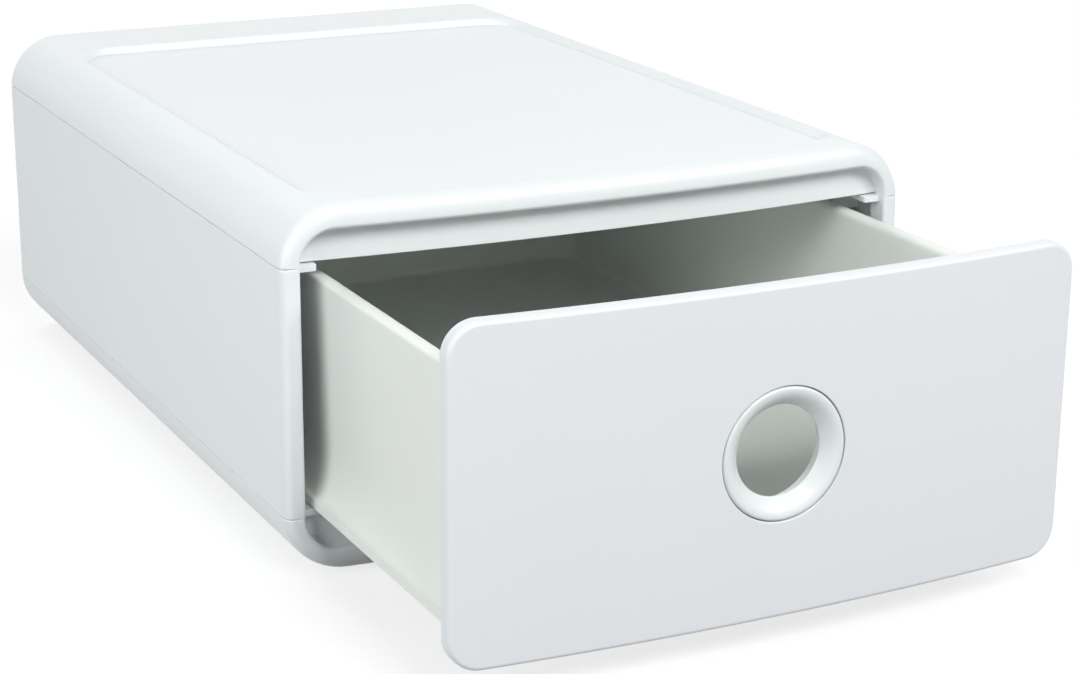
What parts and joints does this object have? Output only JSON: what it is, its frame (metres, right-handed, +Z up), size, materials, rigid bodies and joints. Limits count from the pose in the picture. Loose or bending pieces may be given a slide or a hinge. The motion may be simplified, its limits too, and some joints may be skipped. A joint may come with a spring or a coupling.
{
  "type": "stackable drawer box",
  "caption": "Low desktop drawer box with rounded edges, a shallow stacking recess in its top and a drawer with a round finger hole in its bowed front.",
  "frame": {"origin": "centre of the casing's footprint, on the flat underside of the base panel; the pads reach 2.5 mm below it", "axes": "+Z up, the drawer front faces -Y and slides open along -Y, +X to the right as seen from the front"},
  "size_m": [0.271, 0.5036, 0.147],
  "materials": {
    "casing_white": "satin moulded white",
    "drawer_white": "satin moulded white",
    "front_white": "smooth satin white",
    "ring_white": "smooth satin white",
    "pad_rubber": "matt grey",
    "screw_steel": "plain zinc"
  },
  "bodies": {
    "casing": {"top_panel": "casing_white", "base_panel": "casing_white", "left_side_panel": "casing_white", "right_side_panel": "casing_white", "back_panel": "casing_white", "back_panel_screws": "screw_steel", "foot_front_left": "pad_rubber", "foot_front_right": "pad_rubber", "foot_rear_left": "pad_rubber", "foot_rear_right": "pad_rubber"},
    "drawer": {"drawer_tub": "drawer_white", "drawer_front": "front_white", "front_screws": "screw_steel", "pull_ring": "ring_white", "ring_collar": "ring_white"}
  },
  "joints": [
    {"name": "drawer_slide", "type": "slide", "parent": "casing", "child": "drawer", "axis": [0, -1, 0], "range_m": [-0.121, 0.146]}
  ]
}
